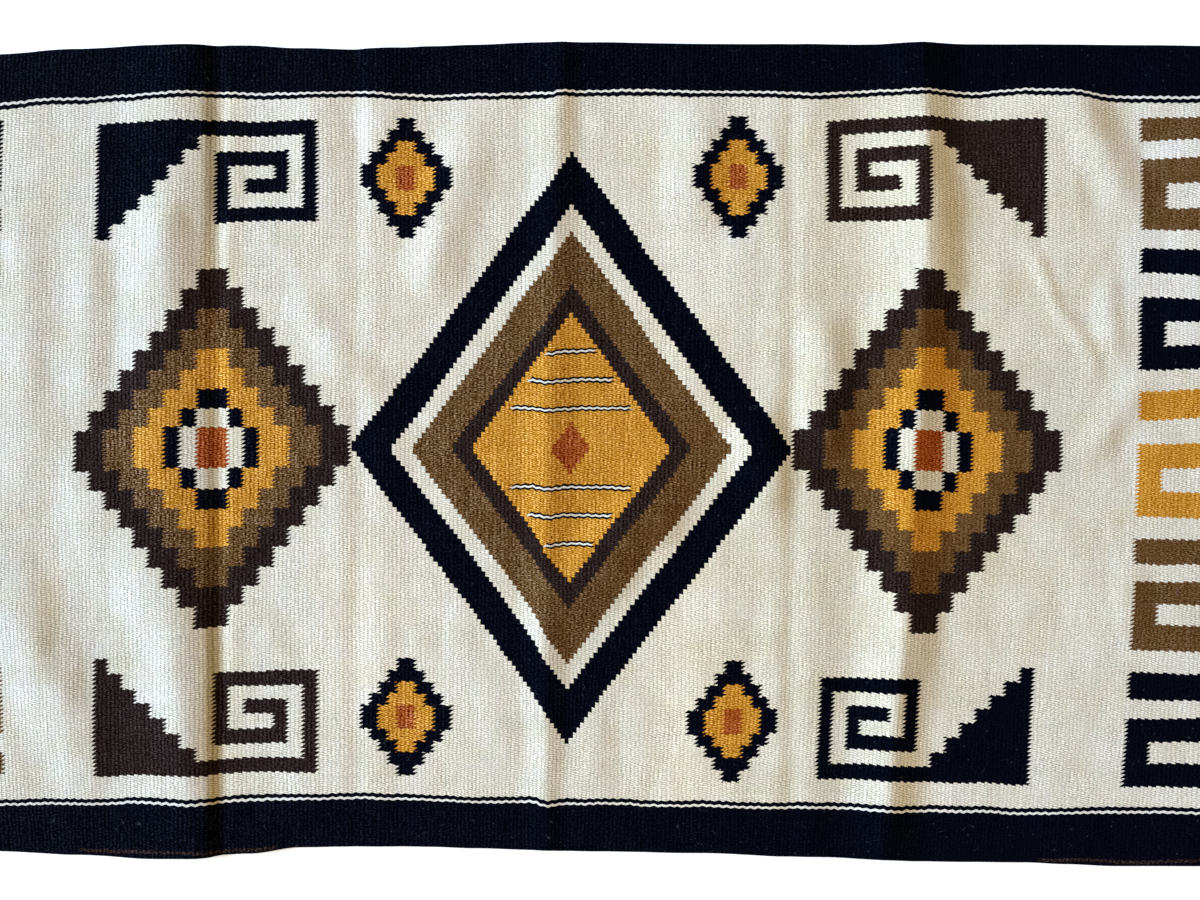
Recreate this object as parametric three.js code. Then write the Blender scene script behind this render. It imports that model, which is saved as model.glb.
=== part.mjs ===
// A hand-woven wool tapestry rug that lies flat: one closed sheet, 3 mm thick.
// X runs along its length, Y across its width, and its underside rests on Z = 0.
// Its long edges wander a little, and the creases that storage left stand up as low ridges.
// All sizes are in millimetres.
import * as THREE from "three";
import { mergeVertices } from "three/addons/utils/BufferGeometryUtils.js";

// Driving dimensions.
const THICKNESS = 3;
const CELLS_ACROSS = 24;
const END_BOW = 2;
const CREASE_POWER = 1.7; // how steeply the cloth leaves a sharp line
const FOLD_TAPER = 0.3; // share of a soft fold's length over which each end fades out
const CREAM_WOOL = 0xe6e0d3;

// How far each long edge is from the middle line, at stations along the length.
const EDGE_STATIONS = [
  { x: -750, back: 395.6, front: 394.9 },
  { x: -650, back: 397.6, front: 394.9 },
  { x: -572, back: 398.8, front: 396.2 },
  { x: -497, back: 404, front: 399.6 },
  { x: -422, back: 406.7, front: 402.8 },
  { x: -382, back: 407.1, front: 402.1 },
  { x: -322, back: 407.1, front: 398.4 },
  { x: -272, back: 404.3, front: 392.2 },
  { x: -222, back: 403.2, front: 391.4 },
  { x: -172, back: 405.2, front: 391.6 },
  { x: -140, back: 407, front: 392 },
  { x: -97, back: 408.4, front: 393.4 },
  { x: -40, back: 410.6, front: 394.9 },
  { x: -23, back: 410.5, front: 395.3 },
  { x: -8, back: 410.7, front: 396.1 },
  { x: 28, back: 410.9, front: 396.6 },
  { x: 128, back: 409.3, front: 398.3 },
  { x: 228, back: 408.9, front: 401.8 },
  { x: 303, back: 408.3, front: 403.7 },
  { x: 346, back: 409.1, front: 406.4 },
  { x: 403, back: 408.9, front: 407.1 },
  { x: 453, back: 408.8, front: 407.6 },
  { x: 492, back: 408.6, front: 409.3 },
  { x: 540, back: 408.2, front: 411.2 },
  { x: 627, back: 407.4, front: 411.3 },
  { x: 750, back: 405.7, front: 410.1 },
];

// Lines that cross the rug from its back edge to its front edge, from the left end to the right.
// Each has its place along the length and the height of the underside there, both at the back,
// in the middle and at the front, how sharply the cloth turns at it (0 is rounded), and how many
// cells lie between it and the line before it.
const LINES = [
  { name: "left end", at: [-750, -750 + END_BOW, -750], lifts: [0, 0, 0], sharp: 0, cells: 0 },
  { name: "left rest", at: [-592, -592, -592], lifts: [0, 0, 0], sharp: 0, cells: 7 },
  { name: "first swell", at: [-548, -544, -552], lifts: [0.8, 0.5, 0.8], sharp: 0.1, cells: 3 },
  { name: "between swells", at: [-516, -516, -524], lifts: [0.5, 0.4, 0.5], sharp: 0, cells: 2 },
  { name: "second swell", at: [-488, -484, -500], lifts: [1, 0.6, 0.8], sharp: 0.1, cells: 2 },
  { name: "hump foot", at: [-462, -462, -474], lifts: [1.2, 1, 0.8], sharp: 0, cells: 2 },
  { name: "hump", at: [-388, -406, -373], lifts: [5.6, 6.2, 7], sharp: 0, cells: 5 },
  { name: "hump shoulder", at: [-366, -364, -361], lifts: [4, 2.7, 5.4], sharp: 0.8, cells: 3 },
  { name: "trough", at: [-350, -351, -349], lifts: [0.1, 0.1, 0], sharp: 0.2, cells: 2 },
  { name: "trough bank", at: [-340, -342, -338], lifts: [1.2, 2.2, 0.8], sharp: 0.2, cells: 1 },
  { name: "behind bank", at: [-312, -314, -308], lifts: [1.2, 1.9, 0.8], sharp: 0, cells: 2 },
  { name: "left fine bank", at: [-250, -236, -232], lifts: [2.6, 2.4, 1.1], sharp: 0, cells: 4 },
  { name: "left fine crease", at: [-214, -214, -214], lifts: [0.9, 1, 0.2], sharp: 0.7, cells: 2 },
  { name: "left far bank", at: [-202, -196, -198], lifts: [2.6, 1.5, 0.9], sharp: 0, cells: 1 },
  { name: "second flat", at: [-136, -150, -168], lifts: [0, 0, 0], sharp: 0, cells: 3 },
  { name: "centre rise", at: [-50, -56, -52], lifts: [0, 0, 0], sharp: 0, cells: 5 },
  { name: "centre ridge", at: [-10, -24, -25], lifts: [2.5, 3.2, 2.4], sharp: 0.5, cells: 3 },
  { name: "centre foot", at: [12, 4, -8], lifts: [0, 0, 0], sharp: 0.3, cells: 3 },
  { name: "third flat", at: [182, 182, 182], lifts: [0, 0, 0], sharp: 0, cells: 9 },
  { name: "right fine bank", at: [206, 206, 206], lifts: [0.8, 0.8, 0.8], sharp: 0, cells: 2 },
  { name: "right fine crease", at: [220, 220, 220], lifts: [0, 0, 0], sharp: 0.7, cells: 1 },
  { name: "right far bank", at: [236, 236, 236], lifts: [0.8, 0.8, 0.8], sharp: 0, cells: 1 },
  { name: "ridge rise", at: [282, 284, 264], lifts: [0, 0, 0], sharp: 0, cells: 3 },
  { name: "right ridge", at: [351, 342, 308], lifts: [7, 8.2, 5], sharp: 0.6, cells: 6 },
  { name: "ridge foot", at: [393, 389, 350], lifts: [0, 0, 0], sharp: 0, cells: 4 },
  { name: "right end", at: [750, 750 - END_BOW, 750], lifts: [0, 0, 0], sharp: 0, cells: 20 },
];

// Soft slanting folds, each a low mound along a straight line, which fades out over its reach
// to both sides and towards both ends.
const SOFT_FOLDS = [
  { name: "first swell", fromX: -544, fromY: 250, toX: -542, toY: 30, height: 1.4, reach: 27 },
  { name: "second swell", fromX: -486, fromY: 250, toX: -484, toY: 30, height: 1.5, reach: 25 },
  { name: "hump lobe", fromX: -412, fromY: 262, toX: -410, toY: 140, height: 2.6, reach: 42 },
  { name: "hump slant", fromX: -504, fromY: 20, toX: -406, toY: -200, height: 3, reach: 50 },
  { name: "hump foot", fromX: -392, fromY: -110, toX: -382, toY: -340, height: 2, reach: 36 },
  { name: "left corner", fromX: -590, fromY: -66, toX: -458, toY: -360, height: 4.6, reach: 52 },
  { name: "panel slant", fromX: -286, fromY: 166, toX: -180, toY: 54, height: 2, reach: 26 },
  { name: "back slant", fromX: -94, fromY: 352, toX: -156, toY: 120, height: 3.7, reach: 43 },
  { name: "back middle", fromX: 130, fromY: 364, toX: 114, toY: 200, height: 3.2, reach: 44 },
  { name: "middle right", fromX: 183, fromY: 70, toX: 196, toY: -86, height: 4, reach: 34 },
  { name: "ridge side", fromX: 254, fromY: 160, toX: 254, toY: -30, height: 4, reach: 36 },
  { name: "middle slant", fromX: 122, fromY: -8, toX: -34, toY: -182, height: 5, reach: 44 },
  { name: "ridge back", fromX: 372, fromY: 296, toX: 376, toY: 140, height: 2, reach: 36 },
  { name: "right crease", fromX: 584, fromY: 90, toX: 500, toY: -14, height: 2, reach: 26 },
  { name: "right corner", fromX: 486, fromY: 386, toX: 566, toY: 230, height: 4.8, reach: 36 },
  { name: "right corner side", fromX: 448, fromY: 400, toX: 510, toY: 230, height: 2.6, reach: 54 },
];

const smooth = (t) => t * t * (3 - 2 * t);

// The curve through three values, at the back (v = 0), in the middle and at the front (v = 1).
function throughThree(back, middle, front, v) {
  return back * (1 - v) * (1 - 2 * v) + middle * 4 * v * (1 - v) + front * v * (2 * v - 1);
}

function edgeCurve(side) {
  const sign = side === "back" ? 1 : -1;
  const stations = EDGE_STATIONS.map((s) => new THREE.Vector2(s.x, sign * s[side]));
  return (x) => {
    const next = Math.max(1, stations.findIndex((s) => s.x >= x));
    const [a, b] = [stations[next - 1], stations[next]];
    return THREE.MathUtils.lerp(a.y, b.y, smooth((x - a.x) / (b.x - a.x)));
  };
}

const backEdge = edgeCurve("back");
const frontEdge = edgeCurve("front");

// How far the cloth has gone from one line's height to the next one's, at t from 0 to 1.
function crossingShare(t, leaving, meeting) {
  const rounded = smooth(t) * (1 - leaving - meeting);
  return rounded + leaving * (1 - (1 - t) ** CREASE_POWER) + meeting * t ** CREASE_POWER;
}

function softFoldLift(fold, point) {
  const from = new THREE.Vector2(fold.fromX, fold.fromY);
  const along = new THREE.Vector2(fold.toX, fold.toY).sub(from);
  const offset = point.clone().sub(from);
  const share = offset.dot(along) / along.lengthSq();
  const aside = Math.abs(offset.cross(along)) / along.length();
  const taper = THREE.MathUtils.clamp((0.5 - Math.abs(share - 0.5)) / FOLD_TAPER, 0, 1);
  const nearness = THREE.MathUtils.clamp(1 - aside / fold.reach, 0, 1);
  return fold.height * smooth(taper) * smooth(nearness);
}

// The underside's point in one column of the grid, at v from the back edge to the front edge.
function undersidePoint(column, v) {
  let next = 1;
  let cell = column;
  while (cell > LINES[next].cells) {
    cell -= LINES[next].cells;
    next += 1;
  }
  const [a, b] = [LINES[next - 1], LINES[next]];
  const share = cell / b.cells;
  const xOf = (line) => throughThree(...line.at, v);
  const x = THREE.MathUtils.lerp(xOf(a), xOf(b), share);
  const y = THREE.MathUtils.lerp(backEdge(x), frontEdge(x), v);
  const creases = THREE.MathUtils.lerp(
    throughThree(...a.lifts, v),
    throughThree(...b.lifts, v),
    crossingShare(share, a.sharp, b.sharp),
  );
  const flatPoint = new THREE.Vector2(x, y);
  const slants = SOFT_FOLDS.reduce((sum, fold) => sum + softFoldLift(fold, flatPoint), 0);
  return new THREE.Vector3(x, y, creases + slants);
}

// A flat box, cut into the grid's cells, whose points then take the rug's place and relief.
function creasedSheet() {
  const columns = LINES.reduce((sum, line) => sum + line.cells, 0);
  const box = new THREE.BoxGeometry(1, 1, 1, columns, CELLS_ACROSS, 1);
  box.deleteAttribute("normal");
  box.deleteAttribute("uv");
  const sheet = mergeVertices(box);
  const points = sheet.getAttribute("position");
  for (let i = 0; i < points.count; i += 1) {
    const column = Math.round((points.getX(i) + 0.5) * columns);
    const point = undersidePoint(column, 0.5 - points.getY(i));
    const onTop = points.getZ(i) > 0;
    points.setXYZ(i, point.x, point.y, onTop ? point.z + THICKNESS : point.z);
  }
  sheet.computeVertexNormals();
  return sheet;
}

const rug = new THREE.Mesh(
  creasedSheet(),
  new THREE.MeshStandardMaterial({ color: CREAM_WOOL, roughness: 0.92, metalness: 0 }),
);
rug.name = "rug";

const part = new THREE.Group();
part.add(rug);

export default part;
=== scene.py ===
import math

import bpy
import numpy as np
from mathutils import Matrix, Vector, noise


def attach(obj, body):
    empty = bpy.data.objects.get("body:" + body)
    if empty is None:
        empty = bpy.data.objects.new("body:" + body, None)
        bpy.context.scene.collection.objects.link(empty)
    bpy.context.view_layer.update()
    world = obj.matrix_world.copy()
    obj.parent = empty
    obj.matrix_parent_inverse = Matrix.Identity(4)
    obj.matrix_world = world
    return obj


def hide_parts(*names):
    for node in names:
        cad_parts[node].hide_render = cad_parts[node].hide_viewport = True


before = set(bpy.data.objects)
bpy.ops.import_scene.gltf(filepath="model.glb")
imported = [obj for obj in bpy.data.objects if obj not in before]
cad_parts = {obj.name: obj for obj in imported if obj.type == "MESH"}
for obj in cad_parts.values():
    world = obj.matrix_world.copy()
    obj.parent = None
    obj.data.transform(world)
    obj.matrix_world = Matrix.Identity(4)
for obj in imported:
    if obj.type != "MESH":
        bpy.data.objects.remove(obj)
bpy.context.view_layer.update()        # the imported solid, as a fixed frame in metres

mm = 0.001
metre = 1000  # in millimetres

# Wool yarns, numbered as the pattern uses them. Grain is in shares of the eye's even steps from
# black to white: how far the ribs, the stitches along a rib and the yarn's own fibres show by the
# right end (ribs and stitches as a painted highlight on each bead's crown and painted shade
# between beads), and how much more the grain shows towards the left end, painted as the window's
# raking light brings it out there.
cream, black, brown, tan, yellow, rust, white = range(7)
yarns = [
    {"hex": "E1D9C4", "ribs": 0.110, "stitches": 0.280, "fibres": 0.37, "rakedLeft": 0.12},  # cream
    {"hex": "040611", "ribs": 0.026, "stitches": 0.023, "fibres": 0.11, "rakedLeft": 1.6},   # black
    {"hex": "291D1A", "ribs": 0.070, "stitches": 0.075, "fibres": 0.28, "rakedLeft": 0.2},   # brown
    {"hex": "664827", "ribs": 0.060, "stitches": 0.120, "fibres": 0.42, "rakedLeft": 1.0},   # tan
    {"hex": "CA8B29", "ribs": 0.110, "stitches": 0.270, "fibres": 0.50, "rakedLeft": 0.5},   # yellow
    {"hex": "A14D1A", "ribs": 0.100, "stitches": 0.180, "fibres": 0.50, "rakedLeft": 0.5},   # rust
    {"hex": "EFE9DA", "ribs": 0.050, "stitches": 0.070, "fibres": 0.20, "rakedLeft": 0.0},   # white
]


def toLinear(hexColour):
    channels = []
    for start in (0, 2, 4):
        value = int(hexColour[start:start + 2], 16) / 255
        channels.append(value / 12.92 if value <= 0.04045 else ((value + 0.055) / 1.055) ** 2.4)
    return (*channels, 1.0)


def addNode(tree, kind, inputs=(), **settings):
    node = tree.nodes.new("ShaderNode" + kind)
    for name, value in settings.items():
        setattr(node, name, value)
    for key, value in (inputs.items() if isinstance(inputs, dict) else enumerate(inputs)):
        source = value.outputs[0] if hasattr(value, "outputs") else value
        if isinstance(source, bpy.types.NodeSocket):
            tree.links.new(source, node.inputs[key])
        else:
            node.inputs[key].default_value = source
    return node


def newMaterial(name):
    material = bpy.data.materials.new(name)
    material.use_nodes = True
    material.node_tree.nodes.clear()
    return material


# Camera straight above the rug, framed as the photograph is.
photoView = {
    "photoWidthPx": 1200,
    "photoHeightPx": 900,
    "mmPerPx": 1.0,
    "rugMiddlePx": (572, 454),
    "heightMm": 1150,
    "sensorMm": 36,
    "clipM": (0.01, 50),
}


def addCamera(view):
    middleX = (view["photoWidthPx"] / 2 - view["rugMiddlePx"][0]) * view["mmPerPx"] * mm
    middleY = (view["rugMiddlePx"][1] - view["photoHeightPx"] / 2) * view["mmPerPx"] * mm
    bpy.ops.object.camera_add(location=(middleX, middleY, view["heightMm"] * mm))
    camera = bpy.context.object
    camera.name = "photoCamera"
    camera.rotation_euler = (0, 0, 0)
    camera.data.sensor_width = view["sensorMm"]
    camera.data.lens = view["sensorMm"] * view["heightMm"] / (view["photoWidthPx"] * view["mmPerPx"])
    camera.data.clip_start = view["clipM"][0]
    camera.data.clip_end = view["clipM"][1]
    bpy.context.scene.camera = camera


# A cool window some way off to the left, low enough to rake the creases, and a weak warm fill.
# Distances are in metres.
studio = {
    "windowWatts": 18400,
    "windowColour": "B5D7FF",
    "windowDistance": 24.0,
    "windowSize": 9.2,
    "windowElevationDeg": 18,
    "windowTurnDeg": 8,      # from the left, turned this far towards the back
    "fillStrength": 0.43,
    "fillColour": "FFD896",
    "wallHex": "EFEEEB",
    "floorHex": "F7F7F7",
    "floorGlow": 0.50,
    "floorRoughness": 0.9,
    "floorSize": 8.0,
    "floorDrop": 0.0004,     # keeps the floor clear of the cloth that rests on it
}


def addStudio(light):
    turn, rise = math.radians(light["windowTurnDeg"]), math.radians(light["windowElevationDeg"])
    towards = Vector((-math.cos(turn) * math.cos(rise), math.sin(turn) * math.cos(rise), math.sin(rise)))
    bpy.ops.object.light_add(type="AREA", location=towards * light["windowDistance"])
    window = bpy.context.object
    window.name = "windowLight"
    window.rotation_euler = towards.to_track_quat("Z", "Y").to_euler()
    window.data.energy = light["windowWatts"]
    window.data.size = light["windowSize"]
    window.data.color = toLinear(light["windowColour"])[:3]

    # The room fills the shade with a warm light, and its own walls look plain and pale.
    world = bpy.data.worlds.new("paleRoom")
    world.use_nodes = True
    room = world.node_tree
    room.nodes.clear()
    fill = addNode(room, "Background", {
        "Color": toLinear(light["fillColour"]), "Strength": light["fillStrength"],
    })
    walls = addNode(room, "Background", {"Color": toLinear(light["wallHex"])})
    seen = addNode(room, "LightPath")
    addNode(room, "OutputWorld", (addNode(room, "MixShader", (seen, fill, walls)),))
    bpy.context.scene.world = world

    bpy.ops.mesh.primitive_plane_add(size=light["floorSize"], location=(0, 0, -light["floorDrop"]))
    floor = bpy.context.object
    floor.name = "floor"
    paper = newMaterial("mattePaintedFloor")  # even white paint: no gloss, no pattern
    shader = addNode(paper.node_tree, "BsdfPrincipled", {
        "Base Color": toLinear(light["floorHex"]),
        "Roughness": light["floorRoughness"],
        "Emission Color": toLinear("FFFFFF"),
        "Emission Strength": light["floorGlow"],
    })
    addNode(paper.node_tree, "OutputMaterial", (shader,))
    floor.data.materials.append(paper)

    bpy.context.scene.view_settings.view_transform = "Standard"
    bpy.context.scene.view_settings.look = "None"


addCamera(photoView)
addStudio(studio)
print("camera, light and floor set")


# The rug's cloth, in millimetres. Warps run across the rug, so a rib crosses it every 4 mm.
rugCloth = {
    "length": 1500,
    "flatWidth": 810,
    "thickness": 3.0,
    "ribPitch": 4.0,
    "pickPitch": 2.13,
    "plainRows": 122,       # rows of faces between the long edges' rims
    "rim": [(0, 0.42), (1.4, 0.86), (4.0, 1.0)],  # distance in from an edge, share of the thickness
    "endBow": 2,
    "borderWidth": 48,      # from a long edge to the middle of the white line
    "creasePower": 1.7,     # how steeply the cloth leaves a sharp line
    "foldTaper": 0.3,       # share of a soft fold's length over which each end fades out
    "creaseSway": 2.5,
    "creaseVary": 0.3,      # how much a crossing line's height varies along it
    "sway": 9,              # how far the soft folds wander off their straight lines
    "ribWander": 1.5,
    "wanderFade": 60,       # from an end to where the ribs wander fully
    "wrinkle": 1.0,
    "cockle": 0.22,
}

# Soft noise that keeps the cloth uneven. Under 1, a share of x or y draws its waves out that way.
clothWaves = {
    # name: (how wide a wave is, share of x, share of y, seed)
    "creaseSway": (62, 0.2, 1, 4.4),
    "creaseVary": (105, 0.3, 1, 6.7),
    "ribWander": (46, 1, 0.45, 3.1),
    "swayX": (52, 1, 1, 2.6),
    "swayY": (52, 1, 1, 7.9),
    "wrinkle": (75, 1.6, 0.8, 8.4),
    "cockle": (26, 1, 0.7, 5.2),
}

# How far each long edge is from the middle line, and how wide its border lies, along the length.
stationColumns = ["x", "back", "front", "backBorder", "frontBorder"]
edgeStations = [
    (-750, 395.6, 394.9, 48.9, 48),
    (-650, 397.6, 394.9, 48.9, 47),
    (-572, 398.8, 396.2, 50.8, 47),
    (-497, 404, 399.6, 48.5, 50.6),
    (-422, 406.7, 402.8, 49, 55.7),
    (-382, 407.1, 402.1, 48.3, 54.4),
    (-322, 407.1, 398.4, 47.7, 53.5),
    (-272, 404.3, 392.2, 43.7, 48.4),
    (-222, 403.2, 391.4, 42.7, 48.1),
    (-172, 405.2, 391.6, 46.8, 45.6),
    (-140, 407, 392, 49.6, 45),
    (-97, 408.4, 393.4, 49, 46.3),
    (-40, 410.6, 394.9, 50.2, 49.1),
    (-23, 410.5, 395.3, 50.6, 44.9),
    (-8, 410.7, 396.1, 48.7, 47.5),
    (28, 410.9, 396.6, 49.4, 47.3),
    (128, 409.3, 398.3, 47.8, 46.6),
    (228, 408.9, 401.8, 48.2, 49.7),
    (303, 408.3, 403.7, 45.6, 50.2),
    (346, 409.1, 406.4, 46.2, 51.9),
    (403, 408.9, 407.1, 48.4, 51.2),
    (453, 408.8, 407.6, 46.3, 49.1),
    (492, 408.6, 409.3, 46.2, 51),
    (540, 408.2, 411.2, 52.9, 53.1),
    (627, 407.4, 411.3, 51.9, 52.1),
    (750, 405.7, 410.1, 50.5, 51.5),
]

# Lines that cross the rug: place and height at its back edge, middle and front edge, and how
# sharply the cloth turns there (0 rounded, 1 creased).
creaseLines = [
    # name, (back, middle, front), (lifts), sharpness
    ("left end", (-750, -748, -750), (0, 0, 0), 0),
    ("left rest", (-592, -592, -592), (0, 0, 0), 0),
    ("first swell", (-548, -544, -552), (0.8, 0.5, 0.8), 0.1),
    ("between swells", (-516, -516, -524), (0.5, 0.4, 0.5), 0),
    ("second swell", (-488, -484, -500), (1.0, 0.6, 0.8), 0.1),
    ("hump foot", (-462, -462, -474), (1.2, 1.0, 0.8), 0),
    ("hump", (-388, -406, -373), (5.6, 6.2, 7.0), 0),
    ("hump shoulder", (-366, -364, -361), (4.0, 2.7, 5.4), 0.8),
    ("trough", (-350, -351, -349), (0.1, 0.1, 0), 0.2),
    ("trough bank", (-340, -342, -338), (1.2, 2.2, 0.8), 0.2),
    ("behind bank", (-312, -314, -308), (1.2, 1.9, 0.8), 0),
    ("left fine bank", (-250, -236, -232), (2.6, 2.4, 1.1), 0),
    ("left fine crease", (-214, -214, -214), (0.9, 1.0, 0.2), 0.7),
    ("left far bank", (-202, -196, -198), (2.6, 1.5, 0.9), 0),
    ("second flat", (-136, -150, -168), (0, 0, 0), 0),
    ("centre rise", (-50, -56, -52), (0, 0, 0), 0),
    ("centre ridge", (-10, -24, -25), (2.5, 3.2, 2.4), 0.5),
    ("centre foot", (12, 4, -8), (0, 0, 0), 0.3),
    ("third flat", (182, 182, 182), (0, 0, 0), 0),
    ("right fine bank", (206, 206, 206), (0.8, 0.8, 0.8), 0),
    ("right fine crease", (220, 220, 220), (0, 0, 0), 0.7),
    ("right far bank", (236, 236, 236), (0.8, 0.8, 0.8), 0),
    ("ridge rise", (282, 284, 264), (0, 0, 0), 0),
    ("right ridge", (351, 342, 308), (7, 8.2, 5.0), 0.6),
    ("ridge foot", (393, 389, 350), (0, 0, 0), 0),
    ("right end", (750, 748, 750), (0, 0, 0), 0),
]

# Soft folds: each a low mound along a straight line, which fades out over its reach and its ends.
softFolds = [
    # from x, from y, to x, to y, height, reach
    (-544, 250, -542, 30, 1.4, 27),      # the swells are fullest before the middle
    (-486, 250, -484, 30, 1.5, 25),
    (-412, 262, -410, 140, 2.6, 42),     # lobe of the hump, towards the back
    (-504, 20, -406, -200, 3.0, 50),     # slants down into the hump, towards the front
    (-392, -110, -382, -340, 2.0, 36),
    (-590, -66, -458, -360, 4.6, 52),    # left corner
    (-286, 166, -180, 54, 2.0, 26),
    (-354, 130, -334, 54, 1.5, 24),
    (-258, 362, -262, 262, 0.8, 30),
    (-94, 352, -156, 120, 3.7, 43),      # back slant
    (130, 364, 114, 200, 3.2, 44),
    (183, 70, 196, -86, 4.0, 34),
    (254, 160, 254, -30, 4.0, 36),
    (122, -8, -34, -182, 5.0, 44),       # middle slant
    (18, -216, 26, -336, 1.1, 28),
    (-84, -210, -68, -316, 0.9, 28),
    (372, 296, 376, 140, 2.0, 36),       # beside the right ridge
    (446, 226, 534, 60, 1.5, 12),        # thin crease
    (584, 90, 500, -14, 2.0, 26),
    (486, 386, 566, 230, 4.8, 36),       # right corner
    (448, 400, 510, 230, 2.6, 54),
    (418, 200, 430, 122, 0.7, 22),
    (531, 186, 535, 90, 1.7, 20),
    (554, -98, 546, -196, 1.2, 32),
]

# Where the wool has yellowed, negative where it has stayed whiter; the narrow rows along the creases
# are painted shade, yellow-brown.
yellowedAndShadedPlaces = [
    # from x, from y, to x, to y, amount, reach
    (160, 700, 160, -700, 0.50, 330),
    (-175, 700, -175, -700, 0.14, 190),
    (420, 560, 400, -400, 0.40, 260),
    (-345, 800, -342, -800, 0.45, 34),    # painted shade beside the trough
    (0, 470, -2, 250, 0.4, 12),           # painted shade along the centre crease, at the back
    (140, 480, 140, 60, -0.35, 110),
    (604, 430, 604, 40, -0.5, 90),
    (-523, -170, -517, -236, 0.5, 20),    # yellower in the left corner, along a slanting fold
    (-446, -146, -444, -252, 0.35, 22),
    (334, -260, 326, -430, 0.6, 22),      # right ridge, at the front
    (372, 420, 368, 0, 0.35, 26),
    # painted shade in the trough
    (-364, 560, -356, -440, 0.5, 13),
]

# Paler panels between the creases, or greyer where the amount is negative; the rows in the fold beside
# the trough are painted shade.
panelToneAndShadeRows = [
    # from x, from y, to x, to y, amount, reach
    (-175, 700, -175, -700, 0.75, 190),
    (-480, 700, -480, -700, -0.7, 250),
    (268, 300, 268, -700, -0.5, 60),
    (98, 700, 98, -700, 0.6, 80),
    (610, 400, 610, 40, 1.2, 75),
    (-212, -60, -212, -300, 1.2, 60),
    (118, -50, 118, -440, 1.1, 50),
    (358, -230, 358, -410, 1.0, 35),
    (478, 130, 478, -70, -1.0, 55),
    (-561, -60, -561, -260, -1.2, 15),
    (-518, -92, -518, -180, 1.6, 21),
    (-523, -170, -517, -236, -1.6, 19),
    (-446, -146, -444, -252, -1.4, 21),
    (133, 260, 133, 80, 0.9, 55),
    (-361, 520, -360, 150, -3.4, 11),     # painted shade in the fold beside the trough, with the next row
    (-361, 90, -355, -410, -3.2, 10),
]

# How far the warps lean along the length by the back edge, by mid-width and by the front edge.
warpLean = [
    # u, by the back, by the middle, by the front
    (-750, 0, 0, 0),
    (-560, 3.3, -8.5, 5.5),
    (-430, 0, -7, -5),
    (-330, 0, -3, -2),
    (-120, 0, 0, 0),
    (40, 0, -2, -10),
    (180, 0, 1, -9),
    (330, 0, 1, -17),
    (600, 0, -2, -25),
    (750, 0, 0, 0),
]

clothUv = "cloth"
yellowingAndShadeMap = "yellowingAndShade"
panelToneAndShadeMap = "panelToneAndShade"


def smooth(t):
    return t * t * (3 - 2 * t)


def throughThree(back, middle, front, v):
    return back * (1 - v) * (1 - 2 * v) + middle * 4 * v * (1 - v) + front * v * (2 * v - 1)


def alongStations(name, x):
    column = stationColumns.index(name)
    table = np.array(edgeStations)
    after = np.clip(np.searchsorted(table[:, 0], x), 1, len(table) - 1)
    start, end = table[after - 1], table[after]
    share = np.clip((x - start[..., 0]) / (end[..., 0] - start[..., 0]), 0, 1)
    return start[..., column] + (end[..., column] - start[..., column]) * smooth(share)


# Height of the underside over the floor from the crossing lines, for one row of points.
def creaseLift(x, v):
    _, places, lifts, sharpness = zip(*creaseLines)
    place = np.array([throughThree(*three, v) for three in places])
    lift = np.array([throughThree(*three, v) for three in lifts])
    sharp = np.array(sharpness)
    power = rugCloth["creasePower"]
    after = np.clip(np.searchsorted(place, x), 1, len(place) - 1)
    t = np.clip((x - place[after - 1]) / (place[after] - place[after - 1]), 0, 1)
    leaving, meeting = sharp[after - 1], sharp[after]
    rounded = smooth(t) * (1 - leaving - meeting)
    share = rounded + leaving * (1 - (1 - t) ** power) + meeting * t ** power
    return lift[after - 1] + (lift[after] - lift[after - 1]) * share


# Sum of low mounds along straight lines, each tapered towards both ends.
def mounds(folds, x, y):
    total = np.zeros_like(x)
    for fromX, fromY, toX, toY, height, reach in folds:
        length = math.hypot(toX - fromX, toY - fromY)
        alongX, alongY = (toX - fromX) / length, (toY - fromY) / length
        share = ((x - fromX) * alongX + (y - fromY) * alongY) / length
        aside = np.abs((x - fromX) * alongY - (y - fromY) * alongX)
        taper = smooth(np.clip((0.5 - np.abs(share - 0.5)) / rugCloth["foldTaper"], 0, 1))
        total += height * taper * smooth(np.clip(1 - aside / reach, 0, 1))
    return total


# One of the cloth's soft noises, between about -1 and 1.
def waves(name, x, y):
    width, shareX, shareY, seed = clothWaves[name]
    return np.array([
        noise.noise(Vector((a * shareX / width, b * shareY / width, seed))) for a, b in zip(x, y)
    ])


# Where a row of the flat cloth lies on the floor: u along it, v from 0 at the back to 1.
def planPlace(u, v):
    cloth = rugCloth
    table = np.array(warpLean).T
    lean = throughThree(*[np.interp(u, table[0], column) for column in table[1:]], v)
    x = u + lean + cloth["endBow"] * 4 * v * (1 - v) * -u / (cloth["length"] / 2)
    flatY = cloth["flatWidth"] * (0.5 - v)
    half = cloth["flatWidth"] / 2
    back, front, backBorder, frontBorder = [alongStations(name, x) for name in stationColumns[1:]]
    inner = half - cloth["borderWidth"]
    share = (flatY + inner) / (2 * inner)
    field = (-front + frontBorder) * (1 - share) + (back - backBorder) * share
    backBand = back - backBorder * (half - flatY) / cloth["borderWidth"]
    frontBand = -front + frontBorder * (half + flatY) / cloth["borderWidth"]
    y = np.where(flatY > inner, backBand, np.where(flatY < -inner, frontBand, field))
    return x, y


# Places along a side of the flat cloth: close together at both rims, even between them.
def withRim(length, cells):
    rim = [inset for inset, _ in rugCloth["rim"]]
    plain = np.linspace(rim[-1], length - rim[-1], cells + 1)
    return np.array([*rim[:-1], *plain, *[length - inset for inset in reversed(rim[:-1])]])


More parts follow.
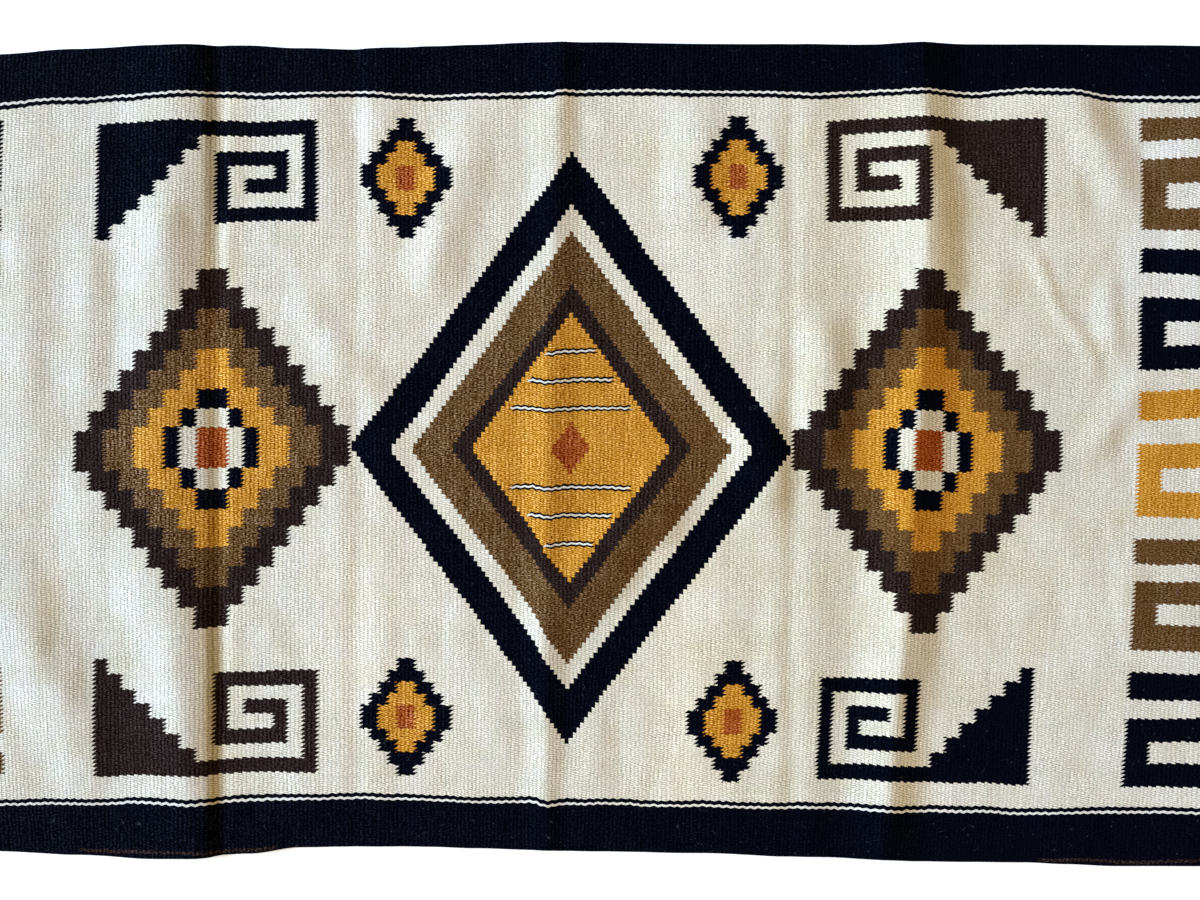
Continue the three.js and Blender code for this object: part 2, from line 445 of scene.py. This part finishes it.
# Where each point of the flat cloth lies on the floor, and how high its underside is there.
def layCloth(u, row, rows):
    cloth = rugCloth
    x, y, lift = np.empty(len(u)), np.empty(len(u)), np.empty(len(u))
    for index, place in enumerate(rows / cloth["flatWidth"]):
        here = row == index
        x[here], y[here] = planPlace(u[here], place)
        sway = waves("creaseSway", x[here], y[here]) * cloth["creaseSway"]
        vary = 1 + waves("creaseVary", x[here], y[here]) * cloth["creaseVary"]
        lift[here] = creaseLift(x[here] + sway, place) * vary
    fade = smooth(np.clip((cloth["length"] / 2 - np.abs(u)) / cloth["wanderFade"], 0, 1))
    x += waves("ribWander", u, y) * cloth["ribWander"] * fade
    swayX = waves("swayX", x, y) * cloth["sway"]
    swayY = waves("swayY", x, y) * cloth["sway"]
    lift += mounds(softFolds, x + swayX, y + swayY)
    lift += np.abs(waves("wrinkle", x, y)) * cloth["wrinkle"]
    lift += (1 + waves("cockle", x, y)) * cloth["cockle"]
    return x, y, lift


def makeRug():
    cloth = rugCloth
    length, width = cloth["length"], cloth["flatWidth"]
    columns = withRim(length, round(length / cloth["ribPitch"]) - 2)
    rows = withRim(width, cloth["plainRows"])
    bpy.ops.mesh.primitive_grid_add(
        x_subdivisions=len(columns) - 1, y_subdivisions=len(rows) - 1, size=2, calc_uvs=False)
    rug = bpy.context.object
    rug.name = "wovenRug"
    mesh = rug.data

    points = np.empty(len(mesh.vertices) * 3)
    mesh.vertices.foreach_get("co", points)
    points = points.reshape(-1, 3)
    column = np.rint((points[:, 0] + 1) / 2 * (len(columns) - 1)).astype(int)
    row = np.rint((1 - points[:, 1]) / 2 * (len(rows) - 1)).astype(int)
    u = columns[column] - length / 2
    v = rows[row] / width

    # The flat cloth's own coordinates, in metres, which the weave and its pattern follow.
    flat = np.column_stack([u, width * (0.5 - v)]) * mm
    corners = np.empty(len(mesh.loops), int)
    mesh.loops.foreach_get("vertex_index", corners)
    mesh.uv_layers.new(name=clothUv).uv.foreach_set("vector", flat[corners].ravel())

    x, y, lift = layCloth(u, row, rows)
    inset = np.minimum(width * np.minimum(v, 1 - v), length / 2 - np.abs(u))
    rimInsets, fullness = zip(*cloth["rim"])
    thick = cloth["thickness"] * np.interp(inset, rimInsets, fullness)
    middle = lift + cloth["thickness"] / 2

    # The upper face is the grid, and Solidify adds the underside and the rim.
    top = np.column_stack([x, y, middle + thick / 2]) * mm
    mesh.vertices.foreach_set("co", top.ravel())
    solid = rug.modifiers.new("clothThickness", "SOLIDIFY")
    solid.thickness = cloth["thickness"] * mm
    solid.offset = -1
    bpy.ops.object.modifier_apply(modifier=solid.name)
    under = np.column_stack([x, y, middle - thick / 2]) * mm
    mesh.vertices.foreach_set("co", np.concatenate([top, under]).ravel())

    # The yellowing and panel tones, with the painted shade along the creases, go on the cloth as two
    # attributes.
    yellowingAndShade = np.clip(mounds(yellowedAndShadedPlaces, x, y), -1, 1)
    panelToneAndShade = mounds(panelToneAndShadeRows, x, y)
    for name, values in [(yellowingAndShadeMap, yellowingAndShade), (panelToneAndShadeMap, panelToneAndShade)]:
        both = np.tile(values, 2)  # the upper face, then the underside
        mesh.attributes.new(name, "FLOAT", "POINT").data.foreach_set("value", both)
    mesh.update()
    bpy.ops.object.shade_smooth()
    return rug


# The colour at this place, counted from 0, in a list of colours.
def colourOf(tree, colours, place):
    count = len(colours)
    share = addNode(tree, "Math", (place, 1 / count, 0.5 / count), operation="MULTIPLY_ADD")
    node = addNode(tree, "ValToRGB", (share,))
    ramp = node.color_ramp
    ramp.interpolation = "CONSTANT"
    ramp.elements.remove(ramp.elements[1])
    for index, colour in enumerate(colours):
        stop = ramp.elements[0] if index == 0 else ramp.elements.new(index / count)
        stop.color = colour
    return node


# A stepped diamond of nested rings: its mask, and the dye of the ring that a stitch is in.
def stepDiamond(tree, across, up, diamond):
    sideways = addNode(tree, "Math", (across, diamond["stepAcross"]), operation="DIVIDE")
    upwards = addNode(tree, "Math", (up, diamond["stepUp"]), operation="DIVIDE")
    steps = addNode(tree, "Math", (
        addNode(tree, "Math", (sideways,), operation="FLOOR"),
        addNode(tree, "Math", (upwards,), operation="FLOOR"),
    ), operation="ADD")
    rings = addNode(tree, "Math", (steps, diamond["stepsInRing"]), operation="DIVIDE")
    ring = addNode(tree, "Math", (rings,), operation="FLOOR")
    greys = [(dye / white, dye / white, dye / white, 1) for dye in diamond["rings"]]
    dyes = addNode(tree, "Math", (colourOf(tree, greys, ring), white), operation="MULTIPLY")
    return addNode(tree, "Math", (ring, len(greys) - 0.5), operation="LESS_THAN"), dyes


# 1 where the chart, read from its left and top, has a # at this column and row.
def charted(tree, chart, column, row):
    rowNumber = 0.0
    for index, line in enumerate(chart):
        number = sum(2 ** place for place, mark in enumerate(line) if mark == "#")
        isRow = addNode(tree, "Math", (row, index, 0.5), operation="COMPARE")
        rowNumber = addNode(tree, "Math", (isRow, number, rowNumber), operation="MULTIPLY_ADD")
    place = addNode(tree, "Math", (2.0, column), operation="POWER")
    shifted = addNode(tree, "Math", (rowNumber, place), operation="DIVIDE")
    whole = addNode(tree, "Math", (shifted,), operation="FLOOR")
    return addNode(tree, "Math", (whole, 2.0), operation="MODULO")


# The digit at this place, counted from 0, in a list of digits under 8.
def digitOf(tree, digits, place):
    number = sum(digit * 8 ** index for index, digit in enumerate(digits))
    power = addNode(tree, "Math", (8.0, place), operation="POWER")
    shifted = addNode(tree, "Math", (float(number), power), operation="DIVIDE")
    whole = addNode(tree, "Math", (shifted,), operation="FLOOR")
    return addNode(tree, "Math", (whole, 8.0), operation="MODULO")


# Which cell of this size a place is in, counted from where the first one starts.
def cellAt(tree, place, start, size):
    cells = addNode(tree, "Math", (place, 1 / size, -start / size), operation="MULTIPLY_ADD")
    return addNode(tree, "Math", (cells,), operation="FLOOR")


# How far a place is from a middle one, either way.
def farFrom(tree, place, middle):
    off = addNode(tree, "Math", (place, middle), operation="SUBTRACT")
    return addNode(tree, "Math", (off,), operation="ABSOLUTE")


# 1 where a place lies between two others.
def between(tree, place, start, end):
    return addNode(tree, "Math", (place, (start + end) / 2, (end - start) / 2), operation="COMPARE")


# The dye under a mask of 0, and the dye over it where the mask is 1.
def overlay(tree, under, mask, over):
    return addNode(tree, "Mix", {0: mask, 2: under, 3: over}, data_type="FLOAT")


# Soft noise about 0, with this many waves to each unit of where it is read.
def noiseOff(tree, where, scale, detail=2.0):
    cloud = addNode(tree, "TexNoise", {"Vector": where, "Scale": scale, "Detail": detail},
                    noise_dimensions="2D")
    return addNode(tree, "Math", (cloud, 0.5), operation="SUBTRACT")


# The woven pattern, in millimetres on the flat cloth.
pattern = {
    "borderLines": [(-9, black), (47.4, white), (49.6, black), (53.6, cream)],  # in from a long edge
    "lineZigzag": 1.2,
    "selvedgeYarn": (3.2, 6.0),     # brown rows close to the front edge
    "selvedgeShows": [(-490, -296), (488, 750)],
    "toothLength": 5.0,
    "toothSlant": 0.17,             # rows for each millimetre
    "keyStart": 567,
    "keyModule": 25.4,
    "keyTop": 336.3,
    "leftKeyRise": 11,              # the left band was begun this much further back
    # Heights of each unit's rows as they were beaten: bar, gap, box top, inside, box bottom, gap.
    "keyRows": [
        (21.6, 18.5, 24.1, 24.3, 22.9, 19),
        (26.1, 23.2, 23.7, 23.3, 22.8, 20.6),
        (29.1, 24.3, 24.3, 23.5, 26.2, 21.4),
        (24.9, 16.5, 23.2, 20, 26.3, 22.4),
        (27.1, 17.8, 24, 22.8, 23.2, 20),
    ],
    "keyDyes": [tan, black, yellow, tan, black],
    "keyChart": [
        "#####",
        "....#",
        "###.#",
        "#...#",
        "#####",
        ".....",
    ],
    "centreDiamond": {
        "stepAcross": 4, "stepUp": 5.4, "stepsInRing": 5,     # small steps give slanting edges
        "rings": [rust, yellow, yellow, yellow, yellow, brown, tan, tan, cream, black, black],
    },
    # Thin black and white lines in its core: from the middle line, half the length.
    "coreLines": [(40, 60), (68, 42), (96, 24)],
    "coreLineHalves": [(2.9, black), (0.9, white)],
    "sideDiamondAt": 355,
    "sideDiamond": {
        "stepAcross": 15, "stepUp": 20, "stepsInRing": 1,
        "rings": [rust, cream, black, yellow, yellow, tan, tan, brown, brown],
    },
    "smallDiamondAt": (165, 272),
    "smallDiamond": {
        "stepAcross": 9, "stepUp": 12, "stepsInRing": 1,
        "rings": [rust, yellow, yellow, black, black],
    },
    "hookAt": (252, 212),
    "hookCell": 14.6,
    "hookChart": [
        "..............#",
        "#######......##",
        "#.....#.....###",
        "#.###.#....####",
        "#.#...#...#####",
        "#.#####..######",
        "#.......#######",
        "###############",
    ],
}


# Hand-beaten cloth: its ribs and rows wander a little, by these shares of their own pitch.
handBeat = {
    "jitterScale": 70,       # waves to the metre
    "jitterRibs": 0.6,
    "jitterRows": 0.9,
    "driftScale": 9,
    "driftMm": 7,            # how far a row of stitches wanders off its level
    "stitchSlant": 0.25,     # a stitch rises by this share of a row across its rib
}


# Which stitch of the weave a point lies in, and where in it, from the flat cloth's map.
def weaveGrid(tree):
    ribPitch, length = rugCloth["ribPitch"], rugCloth["length"]
    pickPitch, width = rugCloth["pickPitch"], rugCloth["flatWidth"]
    flat = addNode(tree, "UVMap", uv_map=clothUv)
    parts = addNode(tree, "SeparateXYZ", (flat,))
    jitter = noiseOff(tree, flat, handBeat["jitterScale"])
    drift = noiseOff(tree, flat, handBeat["driftScale"], detail=1.5)
    ribStart = addNode(tree, "Math", (jitter, handBeat["jitterRibs"], length / 2 / ribPitch),
                       operation="MULTIPLY_ADD")
    ribs = addNode(tree, "Math", (parts.outputs["X"], metre / ribPitch, ribStart),
                   operation="MULTIPLY_ADD")
    rib = addNode(tree, "Math", (ribs,), operation="FLOOR")
    inRib = addNode(tree, "Math", (ribs,), operation="FRACT")
    oddRib = addNode(tree, "Math", (rib, 2.0), operation="MODULO")
    drifted = addNode(tree, "Math", (drift, handBeat["driftMm"] / pickPitch, width / 2 / pickPitch),
                      operation="MULTIPLY_ADD")
    level = addNode(tree, "Math", (jitter, handBeat["jitterRows"], drifted), operation="MULTIPLY_ADD")
    picks = addNode(tree, "Math", (parts.outputs["Y"], metre / pickPitch, level),
                    operation="MULTIPLY_ADD")
    slanted = addNode(tree, "Math", (inRib, handBeat["stitchSlant"], picks), operation="MULTIPLY_ADD")
    # Neighbouring ribs are half a stitch apart.
    offset = addNode(tree, "Math", (oddRib, 0.5, slanted), operation="MULTIPLY_ADD")
    pick = addNode(tree, "Math", (offset,), operation="FLOOR")
    inPick = addNode(tree, "Math", (offset,), operation="FRACT")
    # The stitch's own middle, in millimetres from the rug's.
    across = addNode(tree, "Math", (rib, ribPitch, (ribPitch - length) / 2), operation="MULTIPLY_ADD")
    ownHalf = addNode(tree, "Math", (oddRib, -0.5, pick), operation="MULTIPLY_ADD")
    up = addNode(tree, "Math", (ownHalf, pickPitch, (pickPitch - width) / 2), operation="MULTIPLY_ADD")
    # The point's place in the wandering grid, in millimetres from the rug's middle.
    plainAcross = addNode(tree, "Math", (ribs, ribPitch, -length / 2), operation="MULTIPLY_ADD")
    plainUp = addNode(tree, "Math", (picks, pickPitch, -width / 2), operation="MULTIPLY_ADD")
    # Two yarns that meet at an upright edge turn round a shared warp by turns, so the edge has
    # slanting teeth.
    leaning = addNode(tree, "Math", (plainAcross, -pattern["toothSlant"], picks),
                      operation="MULTIPLY_ADD")
    zigzag = addNode(tree, "Math", (leaning, 1.0), operation="PINGPONG")
    tooth = addNode(tree, "Math", (zigzag, 0.5), operation="SUBTRACT")
    toothed = addNode(tree, "Math", (tooth, pattern["toothLength"], plainAcross),
                      operation="MULTIPLY_ADD")
    # A line of one row of stitches steps up and down from rib to rib.
    stepping = addNode(tree, "Math", (ribs, 1.0), operation="PINGPONG")
    step = addNode(tree, "Math", (stepping, 0.5), operation="SUBTRACT")
    lineUp = addNode(tree, "Math", (step, pattern["lineZigzag"], plainUp), operation="MULTIPLY_ADD")
    return {"flat": flat, "rib": rib, "inRib": inRib, "pick": pick, "inPick": inPick,
            "across": across, "up": up, "toothed": toothed, "lineUp": lineUp}


# Stepped key bands, the left one being the right one turned half round.
def keyBands(tree, grid, dye):
    side = addNode(tree, "Math", (grid["across"],), operation="SIGN")
    outwards = addNode(tree, "Math", (grid["toothed"],), operation="ABSOLUTE")
    column = cellAt(tree, outwards, pattern["keyStart"], pattern["keyModule"])
    halfRise = pattern["leftKeyRise"] / 2
    fromBand = addNode(tree, "Math", (grid["up"], halfRise), operation="SUBTRACT")
    turnedUp = addNode(tree, "Math", (fromBand, side, halfRise), operation="MULTIPLY_ADD")
    # The row is the number of row edges that lie above the stitch.
    row = -1.0
    edge = pattern["keyTop"]
    for height in [height for unit in pattern["keyRows"] for height in unit]:
        isUnder = addNode(tree, "Math", (turnedUp, edge), operation="LESS_THAN")
        row = addNode(tree, "Math", (isUnder, row), operation="ADD")
        edge -= height
    unitRows = len(pattern["keyChart"])
    units = addNode(tree, "Math", (row, unitRows), operation="DIVIDE")
    unit = addNode(tree, "Math", (units,), operation="FLOOR")
    rowInUnit = addNode(tree, "Math", (unit, -unitRows, row), operation="MULTIPLY_ADD")
    mask = charted(tree, pattern["keyChart"], column, rowInUnit)
    return overlay(tree, dye, mask, digitOf(tree, pattern["keyDyes"], unit))


# Nested stepped diamonds and stepped hooks, mirrored about both middle lines.
def fieldMotifs(tree, grid, dye):
    across = addNode(tree, "Math", (grid["toothed"],), operation="ABSOLUTE")
    up = addNode(tree, "Math", (grid["up"],), operation="ABSOLUTE")
    # A slanting edge turns at a new warp each time, so it has no teeth.
    ribAcross = addNode(tree, "Math", (grid["across"],), operation="ABSOLUTE")
    mask, rings = stepDiamond(tree, ribAcross, up, pattern["centreDiamond"])
    dye = overlay(tree, dye, mask, rings)
    lineUp = addNode(tree, "Math", (grid["lineUp"],), operation="ABSOLUTE")
    for lineAt, halfLength in pattern["coreLines"]:
        inLine = addNode(tree, "Math", (across, halfLength), operation="LESS_THAN")
        for half, lineDye in pattern["coreLineHalves"]:
            band = between(tree, lineUp, lineAt - half, lineAt + half)
            mask = addNode(tree, "Math", (band, inLine), operation="MULTIPLY")
            dye = overlay(tree, dye, mask, lineDye)

    beside = farFrom(tree, across, pattern["sideDiamondAt"])
    mask, rings = stepDiamond(tree, beside, up, pattern["sideDiamond"])
    dye = overlay(tree, dye, mask, rings)

    smallAcross, smallUp = pattern["smallDiamondAt"]
    mask, rings = stepDiamond(tree, farFrom(tree, across, smallAcross), farFrom(tree, up, smallUp),
                              pattern["smallDiamond"])
    dye = overlay(tree, dye, mask, rings)

    hookAcross, hookUp = pattern["hookAt"]
    column = cellAt(tree, across, hookAcross, pattern["hookCell"])
    row = cellAt(tree, up, hookUp, pattern["hookCell"])
    mask = charted(tree, pattern["hookChart"], column, row)
    # The hooks of one diagonal are brown, and those of the other are black.
    corner = addNode(tree, "Math", (grid["across"], grid["up"]), operation="MULTIPLY")
    isBrown = addNode(tree, "Math", (corner, 0.0), operation="GREATER_THAN")
    hookDye = addNode(tree, "Math", (isBrown, brown - black, black), operation="MULTIPLY_ADD")
    return overlay(tree, dye, mask, hookDye)


def borderBands(tree, grid, dye):
    fromMiddle = addNode(tree, "Math", (grid["lineUp"],), operation="ABSOLUTE")
    inset = addNode(tree, "Math", (fromMiddle, -1.0, rugCloth["flatWidth"] / 2), operation="MULTIPLY_ADD")
    bands = pattern["borderLines"]
    for (start, bandDye), (end, _) in zip(bands, bands[1:]):
        dye = overlay(tree, dye, between(tree, inset, start, end), bandDye)
    inRow = between(tree, inset, *pattern["selvedgeYarn"])
    isFront = addNode(tree, "Math", (grid["up"], 0.0), operation="LESS_THAN")
    frontRow = addNode(tree, "Math", (inRow, isFront), operation="MULTIPLY")
    for left, right in pattern["selvedgeShows"]:
        stretch = between(tree, grid["across"], left, right)
        dye = overlay(tree, dye, addNode(tree, "Math", (frontRow, stretch), operation="MULTIPLY"), brown)
    return dye


# Hand-spun wool, woven so tight that only the weft shows: matte, fibrous, beaded by its stitches.
woolFinish = {
    "roughness": 0.95,
    "specular": 0.012,
    "sheen": 0.006,
    "sheenRoughness": 0.5,
    "ior": 1.54,
    "stitchRelief": 0.05,    # millimetres
    "fibreRelief": 0.4,      # as a share of a stitch's
    "rakedLeftRibs": 0.53,        # how much more the ribs' painted shading shows by the left end, where the window's light rakes
    "leftToRight": (-540, 420),  # from where the painted raking light shows the grain most to where it shows it least
    "looseMm": 30,
    "looseness": 1.0,
    "looseSpread": 1.2,
    "fibreMm": 1.5,
    "fibreStretch": 0.65,    # fibres lie along the weft
    "toneScale": 0.83,       # waves to each rib or row
    "ribTone": 0.27,
    "ribRun": 0.09,          # a rib's tone changes over about 13 rows
    "weftTone": 0.14,
    "weftRun": 0.06,         # and the weft's over about 20 ribs
    "blotchMm": 45,
    "blotch": (0.080, 0.100, 0.200),  # patches take most of the blue, as painted light is bluer and painted shade yellower
    "tintMm": 18,
    "tintSpread": 0.03,
    "panelToneAndShadeSpread": 0.085,
    "yellowingAndShadeTint": "FFF7E0",    # what the yellowing and the painted crease shade do to the dye, at full strength
    "hairMm": 17,            # the size of a loose hair's curls
    "hairPatchMm": 11.9,     # and of the patches that have hairs
    "hairPatch": (0.15, 0.19),
    "hairWidth": 0.008,
    "hairColour": "34383C",
    "speckMm": 34,           # from one bit of lint to the next
    "speckSize": (0.01, 0.026),
    "darkest": 0.01,
    "eyeGamma": 2.2,
}


# How a stitch departs from its dye, in shares of the eye's even steps, with its painted bead shading,
# and how high it stands.
def stitchGrain(tree, grid, dye):
    flat = grid["flat"]
    # The ramp's alpha ends at 1, so it holds half of how much more the painted raking light brings out
    # the grain by the left end.
    grains = colourOf(tree, [
        (yarn["ribs"], yarn["stitches"], yarn["fibres"], yarn["rakedLeft"] / 2) for yarn in yarns
    ], dye)
    rakedLeft = addNode(tree, "Math", (grains.outputs["Alpha"], 2.0), operation="MULTIPLY")
    shares = addNode(tree, "SeparateColor", (grains,))
    left, right = woolFinish["leftToRight"]
    # Painted raking light: the grain shows more towards the left end, nearer the window.
    leftness = addNode(tree, "MapRange", {
        "Value": grid["across"], "From Min": left, "From Max": right, "To Min": 1.0, "To Max": 0.0,
    })
    ribGain = addNode(tree, "Math", (leftness, woolFinish["rakedLeftRibs"], 1.0), operation="MULTIPLY_ADD")
    ribShare = addNode(tree, "Math", (shares.outputs["Red"], ribGain), operation="MULTIPLY")

    # A stitch is a low oval bead: a painted highlight on its crown and painted shade between beads, in
    # the colour as well as in the relief. Each crown is 1/3 at its middle and -2/3 at its sides, so its
    # mean is 0.
    sideways = addNode(tree, "Math", (grid["inRib"], 0.5), operation="SUBTRACT")
    upwards = addNode(tree, "Math", (grid["inPick"], 0.5), operation="SUBTRACT")
    ribRound = addNode(tree, "Math", (sideways, sideways), operation="MULTIPLY")
    pickRound = addNode(tree, "Math", (upwards, upwards), operation="MULTIPLY")
    ribCrown = addNode(tree, "Math", (ribRound, -4.0, 1 / 3), operation="MULTIPLY_ADD")
    stitchCrown = addNode(tree, "Math", (pickRound, -4.0, 1 / 3), operation="MULTIPLY_ADD")

    # Each fibre, rib and length of weft takes the dye a little differently.
    stretched = addNode(tree, "VectorMath", (flat, (woolFinish["fibreStretch"], 1.0, 1.0)),
                        operation="MULTIPLY")
    fibreOff = noiseOff(tree, stretched, metre / woolFinish["fibreMm"], detail=0.6)
    alongRib = addNode(tree, "Math", (grid["pick"], woolFinish["ribRun"]), operation="MULTIPLY")
    ribAt = addNode(tree, "CombineXYZ", (grid["rib"], alongRib))
    ribOff = noiseOff(tree, ribAt, woolFinish["toneScale"])
    ribTone = addNode(tree, "Math", (ribOff, woolFinish["ribTone"]), operation="MULTIPLY")
    alongWeft = addNode(tree, "Math", (grid["rib"], woolFinish["weftRun"]), operation="MULTIPLY")
    weftAt = addNode(tree, "CombineXYZ", (alongWeft, grid["pick"]))
    weftOff = noiseOff(tree, weftAt, woolFinish["toneScale"])
    toned = addNode(tree, "Math", (weftOff, woolFinish["weftTone"], ribTone), operation="MULTIPLY_ADD")
    uneven = addNode(tree, "Math", (fibreOff, toned), operation="ADD")

    ribPart = addNode(tree, "Math", (ribCrown, ribShare), operation="MULTIPLY")
    beaded = addNode(tree, "Math", (stitchCrown, shares.outputs["Green"], ribPart),
                     operation="MULTIPLY_ADD")
    spun = addNode(tree, "Math", (uneven, shares.outputs["Blue"], beaded), operation="MULTIPLY_ADD")
    looseOff = noiseOff(tree, flat, metre / woolFinish["looseMm"])
    loose = addNode(tree, "Math", (looseOff, woolFinish["looseSpread"], woolFinish["looseness"]),
                    operation="MULTIPLY_ADD")
    gain = addNode(tree, "Math", (leftness, rakedLeft, loose), operation="MULTIPLY_ADD")
    grain = addNode(tree, "Math", (spun, gain), operation="MULTIPLY")

    crown = addNode(tree, "Math", (ribCrown, stitchCrown), operation="ADD")
    relief = addNode(tree, "Math", (fibreOff, woolFinish["fibreRelief"], crown), operation="MULTIPLY_ADD")
    return grain, relief


# Paler and yellower patches, and a little pink and green in them: partly uneven dye, partly painted
# light and shade of small undulations, bluer where lit and yellower where shaded.
def patchesOfDyeAndShade(tree, flat):
    blotch = addNode(tree, "VectorMath", {
        0: woolFinish["blotch"],
        "Scale": noiseOff(tree, flat, metre / woolFinish["blotchMm"], detail=4.0),
    }, operation="SCALE")
    tints = addNode(tree, "TexNoise", {
        "Vector": flat, "Scale": metre / woolFinish["tintMm"], "Detail": 1.0,
    }, noise_dimensions="2D")
    tintOff = addNode(tree, "VectorMath", (tints.outputs["Color"], (0.5, 0.5, 0.5)),
                      operation="SUBTRACT")
    tint = addNode(tree, "VectorMath", {0: tintOff, "Scale": woolFinish["tintSpread"]},
                   operation="SCALE")
    return addNode(tree, "VectorMath", (tint, blotch), operation="ADD")


# Yellowed places from years of lying and storage, paler and greyer panels, and painted shade along
# the creases, all carried by the same two attributes.
def yellowingToneAndShadeOver(tree, colour):
    yellowingAndShade = addNode(tree, "Attribute", attribute_name=yellowingAndShadeMap)
    yellowingAndShadeTint = addNode(tree, "Mix", {
        "Factor": yellowingAndShade.outputs["Fac"], 6: (1.0, 1.0, 1.0, 1.0), 7: toLinear(woolFinish["yellowingAndShadeTint"]),
    }, data_type="RGBA", clamp_factor=False)
    yellowedAndShaded = addNode(tree, "VectorMath", (colour, yellowingAndShadeTint.outputs["Result"]), operation="MULTIPLY")
    panelToneAndShade = addNode(tree, "Attribute", attribute_name=panelToneAndShadeMap)
    panelToneAndShadeGain = addNode(tree, "Math", (panelToneAndShade.outputs["Fac"], woolFinish["panelToneAndShadeSpread"], 1.0),
                       operation="MULTIPLY_ADD")
    return addNode(tree, "VectorMath", {0: yellowedAndShaded, "Scale": panelToneAndShadeGain}, operation="SCALE")


# Loose hairs and bits of lint, which show on the dark yarns.
def lintOver(tree, flat, colour):
    curls = noiseOff(tree, flat, metre / woolFinish["hairMm"], detail=1.0)
    thread = addNode(tree, "MapRange", {
        "Value": addNode(tree, "Math", (curls,), operation="ABSOLUTE"),
        "From Min": 0.0, "From Max": woolFinish["hairWidth"], "To Min": 1.0, "To Max": 0.0,
    })
    bare, full = woolFinish["hairPatch"]
    here = addNode(tree, "MapRange", {
        "Value": noiseOff(tree, flat, metre / woolFinish["hairPatchMm"]),
        "From Min": bare, "From Max": full,
    })
    hair = addNode(tree, "Math", (thread, here), operation="MULTIPLY")
    dots = addNode(tree, "TexVoronoi", {"Vector": flat, "Scale": metre / woolFinish["speckMm"]},
                   voronoi_dimensions="2D")
    whole, gone = woolFinish["speckSize"]
    speck = addNode(tree, "MapRange", {
        "Value": dots.outputs["Distance"], "From Min": whole, "From Max": gone,
        "To Min": 1.0, "To Max": 0.0,
    })
    lint = addNode(tree, "Math", (hair, speck), operation="MAXIMUM")
    return addNode(tree, "Mix", {
        0: lint, 6: colour, 7: toLinear(woolFinish["hairColour"]),
    }, data_type="RGBA", blend_type="LIGHTEN")


def tapestryWool():
    material = newMaterial("handSpunWoolTapestry")
    tree = material.node_tree
    grid = weaveGrid(tree)
    dye = fieldMotifs(tree, grid, float(cream))
    dye = keyBands(tree, grid, dye)
    dye = borderBands(tree, grid, dye)
    palette = colourOf(tree, [toLinear(yarn["hex"]) for yarn in yarns], dye)
    grain, relief = stitchGrain(tree, grid, dye)

    # The grain is the same to the eye on a dark yarn as on a pale one, so it is added in even steps.
    evenDye = addNode(tree, "Gamma", (palette, 1 / woolFinish["eyeGamma"]))
    grained = addNode(tree, "VectorMath", (evenDye, grain), operation="ADD")
    patches = patchesOfDyeAndShade(tree, grid["flat"])
    patched = addNode(tree, "VectorMath", (patches, evenDye, grained), operation="MULTIPLY_ADD")
    atLeastDark = addNode(tree, "VectorMath", (patched, (woolFinish["darkest"],) * 3),
                          operation="MAXIMUM")
    yarnColour = addNode(tree, "Gamma", (atLeastDark, woolFinish["eyeGamma"]))
    colour = lintOver(tree, grid["flat"], yellowingToneAndShadeOver(tree, yarnColour))

    bump = addNode(tree, "Bump", {
        "Height": relief, "Distance": woolFinish["stitchRelief"] * mm, "Strength": 1.0,
    })
    shader = addNode(tree, "BsdfPrincipled", {
        "Base Color": colour.outputs["Result"],
        "Roughness": woolFinish["roughness"],
        "IOR": woolFinish["ior"],
        "Specular IOR Level": woolFinish["specular"],
        "Sheen Weight": woolFinish["sheen"],
        "Sheen Roughness": woolFinish["sheenRoughness"],
        "Normal": bump,
    })
    addNode(tree, "OutputMaterial", (shader,))
    return material


rug = makeRug()
print("cloth laid:", len(rug.data.polygons), "faces")
rug.data.materials.append(tapestryWool())
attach(rug, "root")
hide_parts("rug")
print("rug woven and dyed")
